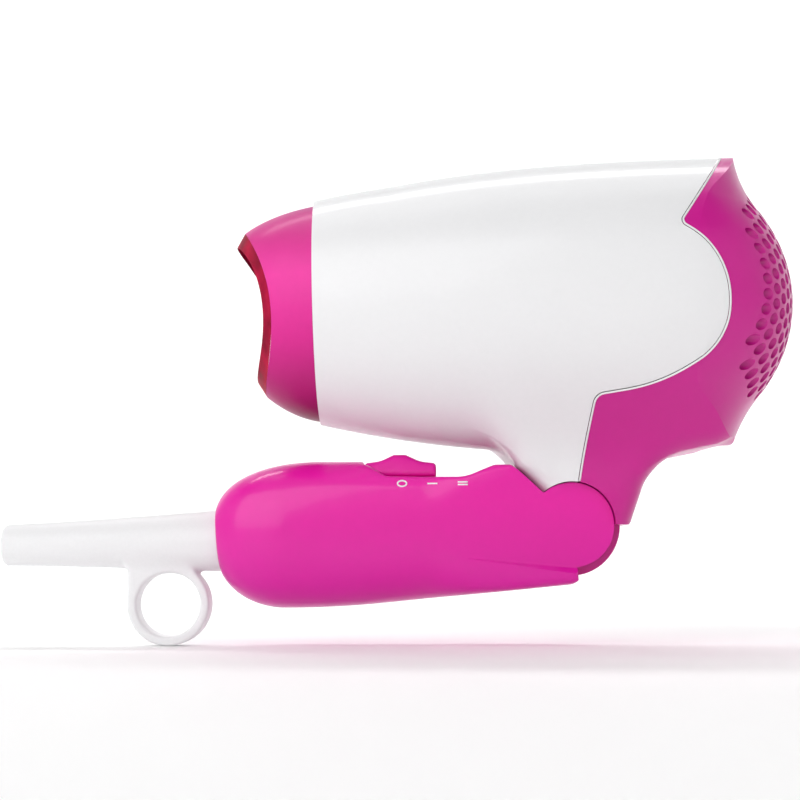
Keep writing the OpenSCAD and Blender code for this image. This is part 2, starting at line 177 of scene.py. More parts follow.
def flare_circle(side):
    """Angle where a flare leaves the dome, then its arc's centre, as (radius, height), and radius."""
    angle, ridge_r, ridge_h = FLARES[side][:3]
    out = np.array([math.cos(math.radians(angle)), math.sin(math.radians(angle))])
    reach = np.array([ridge_r, ridge_h]) - DOME_R * out
    radius = reach @ reach / (2 * out @ reach)
    return math.radians(angle), (DOME_R + radius) * out, radius


def flattening(side, high):
    """How far the centre of the rear end's level sections lies in front of the dome's centre."""
    lead, power = FLARES[side][3:]
    return lead * (np.minimum(np.abs(high), 44) / 32) ** power


def breadth(high):
    """How much wider than deep the rear end's level sections are."""
    low = np.minimum(-high, 41)
    return 1.059 - 0.03 * ramp(low, 8, 24) + 0.18 * (np.clip(low - 24, 0, None) / 14.4) ** 2


def dome_field(x, y, z):
    """The domed rear end, which flares out to a ridge above and below."""
    high = z - DOME_Z
    shift = np.where(high > 0, flattening(1, high), flattening(-1, high))
    flat = np.hypot(x - DOME_X + shift, y / breadth(high)) - shift
    field = np.hypot(flat, high) - DOME_R
    for side in FLARES:
        angle, centre, radius = flare_circle(side)
        flared = radius - np.hypot(flat - centre[0], high * side - centre[1])
        field = np.where(np.arctan2(high * side, flat) > angle, flared, field)
    return field


def rear_field(x, y, z):
    """The rear end, carried straight on in front of the dome's middle."""
    return dome_field(np.maximum(x, DOME_X), y, z)


def fade_crease(points, values, slopes):
    """Turns the two surfaces' normals towards each other where the crease between them fades."""
    x, _, z = points.T
    soft = ramp(x, 4, 24) * (1 - ramp(np.abs(z - DOME_Z), 10, 28))
    reach = 14 * soft + 0.01
    share = soft * np.maximum(reach - np.abs(values[0] - values[1]), 0) / (2 * reach)
    share = share.reshape(-1, 1)
    return [unit((1 - share) * own + share * other) for own, other in (slopes, slopes[::-1])]


HANDLE_SIDE = np.concatenate([
    rounded([
        (1.9, -12.0, 0), (2.2, -14.9, 0.4), (0.9, -16.2, 0.4), (-20, -40, 0), (-120, -40, 0), (-120, 30, 0),
        (-62, 30, 0), (-57.6, 17.6, 0.6), (-51.6, 13.6, 3), (-29.5, 13.3, 12), (-21.2, 16.9, 0.8),
        (-16.7, 16.9, 0.8), (-8.8, 9.6, 0),
    ]),
    arc((0, 0), CHEEK_R + 0.1, 132, -81, 48),
])


def oval_drop(part, power=2.15):
    """How far a quarter of an oval has fallen, 0 at its flat start and 1 at its upright end."""
    return 1 - (1 - np.clip(part, 0, 0.999) ** power) ** (1 / power)


def grip_field(x, y, z):
    """The long rounded grip: oval sections that close in towards the cord end and square up at the hinge."""
    top = 18.3 - 15.5 * oval_drop((-70 - x) / 30.2) - 0.02 * np.clip(x + 60, 0, None)
    base = soft_max(-23.2 + 0 * x, -16.45 + 0.1015 * (x - 0.6), 1.5)
    bottom = base + 15 * oval_drop((-80 - x) / 19.6, 2)
    width = GRIP_W * (1 - oval_drop((-79 - x) / 25, 2.1))
    middle, height = (top + bottom) / 2, (top - bottom) / 2
    square = 2.5 + 0.5 * ramp(x, -90, -60) + 9 * ramp(x, -42, -8)
    across, up = np.abs(y) / width, np.abs(z - middle) / height
    section = (across ** square + up ** square + 1e-12) ** (1 / square) - 1
    end = -(x + 99.66 + 0.08 * z)
    return soft_max(section * np.minimum(width, height), end, 0.8)


def handle_field(x, y, z):
    """The grip, cut to the handle's outline."""
    return soft_max(grip_field(x, y, z), outline_distance(HANDLE_SIDE, x, z), 0.9)


SLIDER_SIDE = rounded([
    (-57.7, 13.75, 0.3), (-57.7, 17.6, 1), (-53.3, 18.2, 9), (-49.4, 20.1, 0.6),
    (-46.1, 20.1, 0.6), (-41.8, 18.1, 9), (-37.4, 17.7, 1.2), (-37.4, 13.75, 0.3),
])


def slider_field(x, y, z):
    """The switch knob, whose sides lean in towards its top."""
    width = 8.5 - 0.45 * np.clip(z - 15.2, 0, None)
    return soft_max(outline_distance(SLIDER_SIDE, x, z), np.abs(y) - width, 1.2)


RELIEF_TILT = math.radians(1.2)
RELIEF_BASE = (-98.0, -4.2)      # where the strain relief leaves the grip
RELIEF_SIDE = rounded([
    (-161.0, 0, 0), (-161.0, 4.9, 0.3), (-160.1, 5.8, 0.5), (-145, 6.3, 40), (-133, 6.85, 60),
    (-110, 8.1, 60), (-100, 8.65, 0), (-97.8, 8.65, 0), (-97.8, 6.8, 0), (-94, 6.8, 0),
    (-94, 8.4, 0), (-92, 8.4, 0), (-92, 0, 0),
])
RING = (-113.2, -22.2)
RING_R = 9.0
RING_WALL = 2.6
RING_W = 4.5


def relief_place(x, z):
    """Distance along the strain relief's axis, and height above it."""
    dx, dz = x - RELIEF_BASE[0], z - RELIEF_BASE[1]
    cos, sin = math.cos(RELIEF_TILT), math.sin(RELIEF_TILT)
    return dx * cos + dz * sin + RELIEF_BASE[0], dz * cos - dx * sin


def relief_point(distance):
    """Point on the strain relief's axis, at that distance from its base towards the hinge."""
    cos, sin = math.cos(RELIEF_TILT), math.sin(RELIEF_TILT)
    return RELIEF_BASE[0] + distance * cos, 0, RELIEF_BASE[1] + distance * sin


def relief_field(x, y, z):
    """The strain relief, with the hanging ring moulded on below it."""
    along, above = relief_place(x, z)
    cone = outline_distance(RELIEF_SIDE, along, np.hypot(y, above))
    dx, dz = x - RING[0], z - RING[1]
    from_middle = np.hypot(dx, dz)
    web = np.maximum(np.maximum(np.abs(dx + 8.2) - 3.4, -dz), dz - 13)
    ring = np.minimum(from_middle - RING_R - RING_WALL, web)
    ring = soft_max(soft_max(ring, RING_R - from_middle, 1.0), np.abs(y) - RING_W, 1.0)
    return soft_min(cone, ring, 2.5)


# ---- meshes --------------------------------------------------------------------------------------


def crossing(test, low, high):
    """Where the test turns from true to false between low and high."""
    for _ in range(40):
        middle = (low + high) / 2
        if test(middle):
            low = middle
        else:
            high = middle
    return low


def gradient(field, points, reach=0.2):
    slope = np.zeros_like(points)
    for axis in range(3):
        step = np.zeros(3)
        step[axis] = reach
        ahead, behind = points + step, points - step
        slope[:, axis] = (field(*ahead.T) - field(*behind.T)) / (2 * reach)
    return slope


def settled(field, points, limit, rounds=4):
    """The points, moved along the field's slope onto its surface."""
    for _ in range(rounds):
        slope = gradient(field, points, 0.05)
        size = np.maximum((slope * slope).sum(axis=1), 1e-6)
        move = -slope * (field(*points.T) / size)[:, None]
        length = np.linalg.norm(move, axis=1, keepdims=True)
        points = points + move * np.minimum(1, limit / np.maximum(length, 1e-9))
    return points


def surface_net(field, low, high, step):
    """Points and quads of the surface where the field is zero, with a point in each grid cell it crosses."""
    low, high = np.array(low, float), np.array(high, float)
    middle, reach = (low + high) / 2, (high - low) / 2 - 1.5 * step

    def closed(x, y, z):
        box = [np.abs(v - m) - r for v, m, r in zip((x, y, z), middle, reach)]
        return np.maximum(field(x, y, z), np.maximum(np.maximum(box[0], box[1]), box[2]))

    counts = np.ceil((high - low) / step).astype(int) + 1
    axes = [low[k] + step * np.arange(counts[k]) for k in range(3)]
    value = closed(*np.meshgrid(*axes, indexing="ij", sparse=True))
    inside = value < 0
    filled = np.zeros(counts - 1, int)
    for corner in np.ndindex(2, 2, 2):
        filled += inside[tuple(slice(c, c + n - 1) for c, n in zip(corner, counts))]
    mixed = (filled > 0) & (filled < 8)
    index = np.full(counts - 1, -1)
    index[mixed] = np.arange(mixed.sum())
    points = low + (np.argwhere(mixed) + 0.5) * step
    quads = []
    for axis in range(3):
        u, v = (axis + 1) % 3, (axis + 2) % 3
        start = np.take(inside, range(counts[axis] - 1), axis)
        end = np.take(inside, range(1, counts[axis]), axis)
        edges = np.argwhere(start != end)
        edges = edges[(edges[:, u] > 0) & (edges[:, u] < counts[u] - 1)]
        edges = edges[(edges[:, v] > 0) & (edges[:, v] < counts[v] - 1)]
        around = []
        for du, dv in ((0, 0), (1, 0), (1, 1), (0, 1)):
            cell = edges.copy()
            cell[:, u] -= du
            cell[:, v] -= dv
            around.append(index[tuple(cell.T)])
        quad = np.stack(around, axis=1)
        flip = ~start[tuple(edges.T)]
        quad[flip] = quad[flip][:, ::-1]
        quads.append(quad)
    quads = np.concatenate(quads)
    return settled(closed, even(points, quads, closed, step), step / 2), quads


def even(points, quads, field, step):
    """The points, spread evenly over the surface."""
    for _ in range(3):
        points = settled(field, points, step / 2, 2)
        total = np.zeros_like(points)
        count = np.zeros(len(points))
        for k in range(4):
            for other in (quads[:, k - 1], quads[:, (k + 1) % 4]):
                np.add.at(total, quads[:, k], points[other])
                np.add.at(count, quads[:, k], 1)
        points = points + 0.6 * (total / count[:, None] - points)
    return points


def solid(name, points, faces):
    """A mesh object in millimetres, not yet in the row frame, with its faces outwards."""
    mesh = bpy.data.meshes.new(name)
    mesh.from_pydata(np.asarray(points, float).tolist(), [], [list(map(int, face)) for face in faces])
    mesh.update()
    volume = sum(Vector(part.center).dot(part.normal) * part.area for part in mesh.polygons)
    if volume < 0:
        mesh.flip_normals()
    obj = bpy.data.objects.new(name, mesh)
    bpy.context.scene.collection.objects.link(obj)
    return obj


def grid_faces(rows, columns):
    """Quads between rings of points; each ring closes on itself."""
    faces = []
    for start in range(0, (rows - 1) * columns, columns):
        for c in range(columns):
            after = (c + 1) % columns
            faces.append((start + c, start + after, start + columns + after, start + columns + c))
    return faces


def loft(name, rings):
    """A closed solid through rings that all have the same number of points."""
    count = len(rings[0])
    last = (len(rings) - 1) * count
    faces = grid_faces(len(rings), count)
    faces += [tuple(reversed(range(count))), tuple(range(last, last + count))]
    return solid(name, [point for ring in rings for point in ring], faces)


def cylinder(name, start, end, radius, columns):
    """A closed cylinder between two points."""
    start, end = Vector(start), Vector(end)
    turn = (end - start).to_track_quat("Z", "Y")
    angles = [2 * math.pi * k / columns for k in range(columns)]
    circle = [turn @ Vector((radius * math.cos(a), radius * math.sin(a), 0)) for a in angles]
    return loft(name, [[place + point for point in circle] for place in (start, end)])


def block(name, low, high):
    xs, ys, zs = zip(low, high)
    points = [(x, y, z) for x in xs for y in ys for z in zs]
    faces = [(0, 1, 3, 2), (4, 6, 7, 5), (0, 4, 5, 1), (2, 3, 7, 6), (0, 2, 6, 4), (1, 5, 7, 3)]
    return solid(name, points, faces)


def side_prism(name, outline, half_width):
    """An outline in X and Z, extruded both ways along Y."""
    return loft(name, [[(x, y, z) for x, z in outline] for y in (-half_width, half_width)])


def turned(name, profile, columns=192):
    """A solid of level rings about the dome's centre, from (radius, height) points, lowest first."""
    rings = []
    angles = [2 * math.pi * k / columns for k in range(columns)]
    for radius, height in profile:
        shift = float(flattening(1 if height > 0 else -1, height))
        reach = radius + shift
        wide = float(breadth(height))
        rings.append([
            (DOME_X - shift + reach * math.cos(a), wide * reach * math.sin(a), DOME_Z + height)
            for a in angles
        ])
    return loft(name, rings)


def combine(obj, other, operation):
    """Joins, cuts or intersects obj with other, which is used up."""
    step = obj.modifiers.new("combine", "BOOLEAN")
    step.operation = operation
    step.solver = "MANIFOLD"
    step.object = other
    bpy.context.view_layer.update()
    done = bpy.data.meshes.new_from_object(obj.evaluated_get(bpy.context.evaluated_depsgraph_get()))
    obj.modifiers.clear()
    old = obj.data
    obj.data = done
    bpy.data.meshes.remove(old)
    discard(other)
    if not obj.data.polygons:
        raise RuntimeError(obj.name + " came out empty")
    return obj


def discard(obj):
    mesh = obj.data
    bpy.data.objects.remove(obj)
    bpy.data.meshes.remove(mesh)


def duplicate(obj, name):
    copy = bpy.data.objects.new(name, obj.data.copy())
    bpy.context.scene.collection.objects.link(copy)
    return copy


def smooth(obj, fields=(), soften=None, angle=35):
    """Smooth shading up to the angle. A corner on a field's surface takes its normal from that field."""
    mesh = obj.data
    mesh.shade_smooth()
    mesh.set_sharp_from_angle(angle=math.radians(angle))
    if not fields:
        return
    points = stored(mesh.vertices, "co", 3)
    normals = stored(mesh.corner_normals, "vector", 3)
    owner = stored(mesh.loops, "vertex_index", 1).astype(int)[:, 0]
    corners = stored(mesh.polygons, "loop_total", 1).astype(int)[:, 0]
    face_normals = np.repeat(stored(mesh.polygons, "normal", 3), corners, axis=0)
    values = [field(*points.T) for field in fields]
    slopes = [unit(gradient(field, points)) for field in fields]
    if soften:
        slopes = soften(points, values, slopes)
    best = np.full(len(owner), 0.8)
    for value, slope in zip(values, slopes):
        agreement = (slope[owner] * face_normals).sum(axis=1)
        better = (np.abs(value[owner]) < 0.05) & (agreement > best)
        normals[better] = slope[owner][better]
        best[better] = agreement[better]
    mesh.normals_split_custom_set(normals.tolist())


def stored(items, name, width):
    """One property of every item of a mesh, as rows of an array."""
    values = np.empty(len(items) * width, np.float32 if name in ("co", "vector", "normal") else np.int32)
    items.foreach_get(name, values)
    return values.reshape(-1, width).astype(float)


def unit(vectors):
    return vectors / np.maximum(np.linalg.norm(vectors, axis=1, keepdims=True), 1e-9)


def place(obj, name, body, material, slot, replaced=()):
    """Moves a finished piece into the row frame and says what it is."""
    obj.name = name
    obj.data.name = name
    obj.data.transform(TO_FRAME)
    obj.data.materials.clear()
    obj.data.materials.append(material)
    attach(obj, body)
    if replaced:
        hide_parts(*replaced)
    return obj


# ---- materials -----------------------------------------------------------------------------------


def painted_light_by_height(nodes, links, stops):
    """Painted shade and highlight: a colour that changes with height, from (height above the hinge, colour) stops,
    lowest first.
    """
    where = nodes.new("ShaderNodeTexCoord")
    split = nodes.new("ShaderNodeSeparateXYZ")
    links.new(where.outputs["Object"], split.inputs["Vector"])
    height = nodes.new("ShaderNodeMapRange")
    low, high = stops[0][0], stops[-1][0]
    height.inputs["From Min"].default_value = HINGE.z + low * MM
    height.inputs["From Max"].default_value = HINGE.z + high * MM
    links.new(split.outputs["Z"], height.inputs["Value"])
    painted_ramp = nodes.new("ShaderNodeValToRGB")
    elements = painted_ramp.color_ramp.elements
    for index, (level, painted_colour) in enumerate(stops):
        part = (level - low) / (high - low)
        stop = elements[index] if index < 2 else elements.new(part)
        stop.position = part
        stop.color = (*painted_colour, 1)
    links.new(height.outputs["Result"], painted_ramp.inputs["Fac"])
    return painted_ramp.outputs["Color"]


def material(name, colour, roughness, grain, bump, tone, spread=0.06, painted_light=(), **sockets):
    """A Principled material whose colour, roughness and surface vary a little with fine noise, and whose colour
    can be multiplied by painted shade and highlight that change with height.
    """
    made = bpy.data.materials.new(name)
    made.use_nodes = True
    nodes, links = made.node_tree.nodes, made.node_tree.links
    shader = nodes["Principled BSDF"]
    where = nodes.new("ShaderNodeTexCoord")
    noise = nodes.new("ShaderNodeTexNoise")
    noise.inputs["Scale"].default_value = grain
    noise.inputs["Detail"].default_value = 3
    links.new(where.outputs["Object"], noise.inputs["Vector"])
    tones = nodes.new("ShaderNodeValToRGB")
    tones.color_ramp.elements[0].position = 0.15
    tones.color_ramp.elements[1].position = 0.85
    tones.color_ramp.elements[0].color = (*[c * (1 - tone) for c in colour], 1)
    tones.color_ramp.elements[1].color = (*[min(1, c * (1 + tone / 3)) for c in colour], 1)
    links.new(noise.outputs["Fac"], tones.inputs["Fac"])
    # Painted shade and highlight: the colour is multiplied by a ramp over height.
    if painted_light:
        mix = nodes.new("ShaderNodeMix")
        mix.data_type = "RGBA"
        mix.blend_type = "MULTIPLY"
        mix.inputs["Factor"].default_value = 1
        links.new(tones.outputs["Color"], mix.inputs["A"])
        links.new(painted_light_by_height(nodes, links, painted_light), mix.inputs["B"])
        links.new(mix.outputs["Result"], shader.inputs["Base Color"])
    else:
        links.new(tones.outputs["Color"], shader.inputs["Base Color"])
    rough = nodes.new("ShaderNodeMapRange")
    rough.inputs["To Min"].default_value = max(0.02, roughness - spread)
    rough.inputs["To Max"].default_value = roughness + spread
    links.new(noise.outputs["Fac"], rough.inputs["Value"])
    links.new(rough.outputs["Result"], shader.inputs["Roughness"])
    if bump:
        relief = nodes.new("ShaderNodeBump")
        relief.inputs["Strength"].default_value = bump
        relief.inputs["Distance"].default_value = 0.0002
        links.new(noise.outputs["Fac"], relief.inputs["Height"])
        links.new(relief.outputs["Normal"], shader.inputs["Normal"])
    for socket, value in sockets.items():
        shader.inputs[socket.replace("_", " ")].default_value = value
    return made


GLOSS = {"Specular_IOR_Level": 0.35, "Coat_Weight": 0.25, "Coat_Roughness": 0.08}
# Painted shade: the handle's pink is multiplied darker and bluer towards its underside.
HANDLE_PAINTED_SHADE = [(-24, (0.78, 0.1, 0.9)), (-17, (0.85, 0.4, 0.93)), (-4, (0.94, 0.9, 0.97)), (6, (1, 1, 1))]
# Painted shade and highlight: the nozzle is darkened towards its top and bottom edges and lightened, whiter, in
# bands across its middle.
NOZZLE_PAINTED_LIGHT = [
    (30, (0.25, 0.2, 0.2)), (36, (0.5, 0.4, 0.45)), (50, (0.8, 0.7, 0.78)), (68, (1, 1.3, 1.05)),
    (80, (0.8, 1.2, 0.8)), (88, (0.72, 1.6, 0.78)), (91, (0.6, 0.8, 0.7)), (94, (0.3, 0.3, 0.3)),
]
# One material for each slot name of the record, and two of Blender's own: nozzle_edge_painted_shade and white_ink.
MATERIALS = {
    "white_shell": material(
        "white_shell", (0.84, 0.84, 0.85), 0.36, spread=0.05, grain=700, bump=0.006, tone=0.015, **GLOSS,
    ),
    "pink_shell": material(
        "pink_shell", (0.6, 0.008, 0.27), 0.34, spread=0.05, grain=500, bump=0.006, tone=0.03, **GLOSS,
    ),
    "pink_handle": material(
        "pink_handle", (0.8, 0.006, 0.36), 0.34, spread=0.05, grain=500, bump=0.006, tone=0.03,
        painted_light=HANDLE_PAINTED_SHADE, **GLOSS,
    ),
    "clear_nozzle": material(
        "clear_nozzle", (0.95, 0.05, 0.4), 0.32, spread=0.03, grain=500, bump=0.004, tone=0.03,
        painted_light=NOZZLE_PAINTED_LIGHT, Transmission_Weight=0.1, IOR=1.45, Specular_IOR_Level=0.04,
        Coat_Weight=0.05, Coat_Roughness=0.12,
    ),
    # Painted shade: the mouth's rim is a darker red copy of the nozzle plastic, for the deep colour seen through
    # the plastic's cut edge; its mottling varies at random.
    "nozzle_edge_painted_shade": material(
        "nozzle_edge_painted_shade", (0.55, 0.01, 0.06), 0.45, spread=0.05, grain=110, bump=0.01, tone=0.85,
        IOR=1.35, Specular_IOR_Level=0.05,
    ),
    "black_plastic": material("black_plastic", (0.03, 0.03, 0.033), 0.45, grain=1500, bump=0.06, tone=0.2),
    "mica": material("mica", (0.55, 0.45, 0.28), 0.5, spread=0.15, grain=260, bump=0.1, tone=0.35),
    "heater_wire": material(
        "heater_wire", (0.45, 0.4, 0.36), 0.38, grain=2500, bump=0.1, tone=0.2, Metallic=1.0,
    ),
    "steel": material("steel", (0.62, 0.63, 0.65), 0.3, grain=1800, bump=0.05, tone=0.1, Metallic=1.0),
    "brass": material("brass", (0.78, 0.58, 0.25), 0.25, grain=1800, bump=0.04, tone=0.1, Metallic=1.0),
    "circuit_board": material("circuit_board", (0.02, 0.14, 0.06), 0.4, grain=700, bump=0.05, tone=0.3),
    "lead_sleeve": material("lead_sleeve", (0.35, 0.02, 0.02), 0.5, grain=1400, bump=0.06, tone=0.2),
    "white_relief": material("white_relief", (0.85, 0.85, 0.86), 0.42, grain=1300, bump=0.02, tone=0.03),
    "white_ink": material("white_ink", (0.88, 0.88, 0.88), 0.5, grain=3000, bump=0.03, tone=0.04),
}


def carry_over():
    """Gives every CAD node the material of its slot."""
    for part in frame["record"]["subparts"]:
        obj = frame["nodes"][part["node"]]
        for spot in obj.material_slots:
            spot.material = MATERIALS[part["material_slot"]]


# ---- air body ------------------------------------------------------------------------------------

# How far behind the seam line the edges of the two shells and the middle of the rim between them lie.
SEAM_REAR = 0.05
SEAM_FRONT = -0.66
SEAM_RIM = -0.2
SEAM_RIM_R = 0.28
SEAM_SIDE = [
    (58.8, 126, 0), (27.5, 80, 1.4), (39.9, 71.8, 24), (39.9, 47.8, 17.5), (22, 36.9, 45), (5.3, 34.3, 2.5),
    (2.1, 11.4, 0), (0.6, 0, 0), (0.6, -60, 0),
]


def seam_curve():
    """The joint between the white and the pink shell, seen from the side, from above the body to the drum."""
    closed = rounded(SEAM_SIDE + [(150, -60, 0), (150, 126, 0)], 12)
    return closed[:-2]


def offset_curve(curve, amount):
    """The curve, moved sideways by the amount."""
    run = np.gradient(curve, axis=0)
    run /= np.linalg.norm(run, axis=1, keepdims=True)
    return curve + amount * np.stack([-run[:, 1], run[:, 0]], axis=1)


def rear_side(amount):
    """Outline that holds everything behind the seam, drawn back from it by the amount."""
    curve = offset_curve(seam_curve(), amount)
    return np.concatenate([curve, [(150, -60)], [(150, 150)]])


def flare_points(side):
    """(radius, height) points of one flare, from the dome to past its ridge."""
    rows = 18
    angle, centre, radius = flare_circle(side)
    past_ridge = math.asin((centre[1] - FLARES[side][2] - 5) / radius)
    turns = np.linspace(math.pi + angle, math.pi + past_ridge, rows)
    return [(centre[0] + radius * math.cos(t), side * (centre[1] + radius * math.sin(t))) for t in turns]


def rear_profile():
    low = flare_points(-1)[::-1]
    high = flare_points(1)
    angles = np.linspace(-math.radians(FLARES[-1][0]), math.radians(FLARES[1][0]), 72)[1:-1]
    dome = [(DOME_R * math.cos(a), DOME_R * math.sin(a)) for a in angles]
    return [(low[0][0], -110)] + low + dome + high + [(high[-1][0], 70)]


def inner_profile():
    radius = DOME_R - WALL
    return [(radius * math.cos(a), radius * math.sin(a)) for a in np.linspace(-1.55, 1.55, 48)]


def rear_limit(name, profile):
    """Everything in front of the dome's centre, joined to the turned rear end."""
    front = block(name, (-130, -FAR, -FAR), (DOME_X, FAR, 160))
    return combine(front, turned(name + "_end", profile), "UNION")


def intake_cutters():
    """One mesh of small cylinders in a hexagonal field."""
    pitch, radius, columns = 4.15, 1.6, 24
    field_radius, field_height = 35.5, 28
    points, faces = [], []
    for column in range(-9, 10):
        for row in range(-9, 9):
            y = column * pitch * math.sqrt(3) / 2
            z = (row + (0.5 if column % 2 else 0)) * pitch
            if math.hypot(y, z) > field_radius or abs(z) > field_height:
                continue
            base = len(points)
            for x in (DOME_X + 10, DOME_X + 50):
                for k in range(columns):
                    angle = 2 * math.pi * k / columns
                    points.append((x, y + radius * math.cos(angle), DOME_Z + z + radius * math.sin(angle)))
            faces += [tuple(base + i for i in face) for face in grid_faces(2, columns)]
            faces.append(tuple(reversed(range(base, base + columns))))
            faces.append(tuple(range(base + columns, base + 2 * columns)))
    return solid("intake_cutters", points, faces)


def air_shells():
    low, high = (-76, -46, -16), (74, 46, 112)
    shell = solid("shell", *surface_net(air_field, low, high, 1.2))
    combine(shell, rear_limit("limit", rear_profile()), "INTERSECT")
    hollow = solid("hollow", *surface_net(inner_field, (-82, -46, 15), (74, 46, 112), 2.5))
    combine(hollow, rear_limit("inner_limit", inner_profile()), "INTERSECT")
    combine(shell, hollow, "DIFFERENCE")
    neck_hollow = rounded([(-11, 16, 1), (-12, 30, 0), (20, 30, 0), (15, 16, 1)])
    combine(shell, side_prism("neck_hollow", neck_hollow, GRIP_W - WALL), "DIFFERENCE")
    combine(shell, side_prism("neck_end", NECK_END, 40), "DIFFERENCE")
    combine(shell, cylinder("cheek_room", (0, -40, 0), (0, 40, 0), CHEEK_R + GAP, 96), "DIFFERENCE")
    combine(shell, front_plane_cutter(), "DIFFERENCE")
    rear = duplicate(shell, "rear")
    combine(rear, side_prism("behind", rear_side(SEAM_REAR), FAR), "INTERSECT")
    combine(rear, intake_cutters(), "DIFFERENCE")
    combine(rear, cylinder("drum", (0, -DRUM_W, 0), (0, DRUM_W, 0), DRUM_R, 128), "UNION")
    combine(shell, side_prism("front_of", rear_side(SEAM_FRONT), FAR), "DIFFERENCE")
    drum_room = cylinder("drum_room", (0, -DRUM_W - GAP, 0), (0, DRUM_W + GAP, 0), DRUM_R + 0.1, 96)
    combine(shell, drum_room, "DIFFERENCE")
    for obj in (shell, rear):
        smooth(obj, (air_field, rear_field), fade_crease)
    place(shell, "shell_front", "body", MATERIALS["white_shell"], "white_shell", ["front_shell"])
    place(rear, "shell_rear", "body", MATERIALS["pink_shell"], "pink_shell", ["rear_shell"])


def inner_field(x, y, z):
    return body_field(x, y, z) + WALL


def skin_y(x, z):
    """How far the air body's skin is from its middle plane at that spot, or None past its edge."""

    def inside(y):
        spot = np.array([x]), np.array([y]), np.array([z])
        behind = x > DOME_X and dome_field(*spot)[0] > 0
        return air_field(*spot)[0] <= 0 and not behind

    return crossing(inside, 0.0, 60.0) if inside(0.0) else None


def seam_rim():
    """A thin white rim in the joint between the two shells, on both sides of the body."""
    curve = resampled(offset_curve(seam_curve(), SEAM_RIM), 0.8)
    near = [(x, -y, z) for x, z in curve if z > 11.8 and (y := skin_y(x, z)) is not None]
    points = near + [(x, -y, z) for x, y, z in reversed(near)]
    rim = tube("seam_rim", points, SEAM_RIM_R, 8)
    smooth(rim, angle=80)
    place(rim, "seam_rim", "body", MATERIALS["white_shell"], "white_shell")


def resampled(curve, step):
    """Points at even steps along a curve."""
    length = np.concatenate([[0], np.cumsum(np.linalg.norm(np.diff(curve, axis=0), axis=1))])
    places = np.linspace(0, length[-1], int(length[-1] / step))
    return np.stack([np.interp(places, length, curve[:, k]) for k in range(2)], axis=1)


def tube(name, path, radius, columns):
    """A round tube along a path, closed at its ends."""
    path = [Vector(point) for point in path]
    rings = []
    for k, point in enumerate(path):
        along = (path[min(k + 1, len(path) - 1)] - path[max(k - 1, 0)]).normalized()
        first = along.cross(Vector((0.31, 0.2, 0.93))).normalized()
        second = along.cross(first)
        angles = [2 * math.pi * c / columns for c in range(columns)]
        rings.append([point + radius * (math.cos(a) * first + math.sin(a) * second) for a in angles])
    return loft(name, rings)


def front_plane_cutter():
    """Everything in front of the nozzle's joint, square to the body's axis."""
    cutter = block("nose_cutter", (-60, -FAR, -FAR), (0, FAR, FAR))
    to_axis = Matrix.Translation((0, 0, AXIS_H)) @ Matrix.Rotation(-TILT, 4, "Y")
    cutter.data.transform(to_axis @ Matrix.Translation((SEAM_S, 0, 0)))
    return cutter


# ---- nozzle --------------------------------------------------------------------------------------

NOZZLE_ARC = 39.0
NOZZLE_START = 31.4
NOZZLE_LEAN = math.radians(9)
NOZZLE_WALL = 1.5
NOZZLE_DROP = 0.7                # the nozzle starts this far below the body's axis
NOZZLE_RISE = 0.0063             # and rises with the square of the distance from the joint
MOUTH = (-120.5, 56.2)
MOUTH_R = 35.1
BEVEL = 2.5


def nozzle_point(s, inset, theta):
    """Point on the nozzle's outer skin, or that far below it, at distance s along the body's axis."""
    centre_s = SEAM_S + NOZZLE_ARC * math.sin(NOZZLE_LEAN)
    centre_r = NOZZLE_START - NOZZLE_ARC * math.cos(NOZZLE_LEAN)
    rho = centre_r + math.sqrt((NOZZLE_ARC - inset) ** 2 - (s - centre_s) ** 2)
    above = rho * math.sin(theta) + NOZZLE_RISE * (s - SEAM_S) ** 2 - NOZZLE_DROP
    x = s * math.cos(TILT) - above * math.sin(TILT)
    z = s * math.sin(TILT) + above * math.cos(TILT) + AXIS_H
    return np.array([x, rho * math.cos(theta), z])


def mouth_edge(inset, theta):
    """Distance along the axis where the skin meets the scooped mouth."""

    def scooped(s):
        x, _, z = nozzle_point(s, inset, theta)
        return math.hypot(x - MOUTH[0], z - MOUTH[1]) < MOUTH_R

    return crossing(scooped, SEAM_S - 30, SEAM_S)


def nozzle_rings(profile_of):
    """A ring-shaped mesh, from a function that gives the closed (distance, inset) profile at one angle."""
    columns = 160
    rings = []
    for k in range(columns):
        theta = 2 * math.pi * k / columns
        rings.append([nozzle_point(s, inset, theta) for s, inset in profile_of(theta)])
    rings = np.array(rings)
    rows = rings.shape[1]
    points = rings.transpose(1, 0, 2).reshape(-1, 3)
    faces = grid_faces(rows, columns)
    last = (rows - 1) * columns
    faces += [(last + k, last + (k + 1) % columns, (k + 1) % columns, k) for k in range(columns)]
    return points, faces


def nozzle_skin(theta):
    inner_edge = mouth_edge(NOZZLE_WALL, theta)
    outer_edge = inner_edge + BEVEL
    outer = [(s, 0.0) for s in np.linspace(SEAM_S - 0.1, outer_edge + 0.02, 30)]
    inner = [(s, NOZZLE_WALL) for s in np.linspace(outer_edge + 0.02, SEAM_S - 0.1, 22)]
    return outer + inner


def nozzle_bevel(theta):
    inner_edge = mouth_edge(NOZZLE_WALL, theta)
    outer_edge = inner_edge + BEVEL
    front = [(outer_edge - 0.02, 0.05), (outer_edge - 0.15, 0.14)]
    front += [(inner_edge + 0.2, NOZZLE_WALL - 0.15), (inner_edge, NOZZLE_WALL)]
    return front + [(outer_edge - 0.1, NOZZLE_WALL + 0.02)]


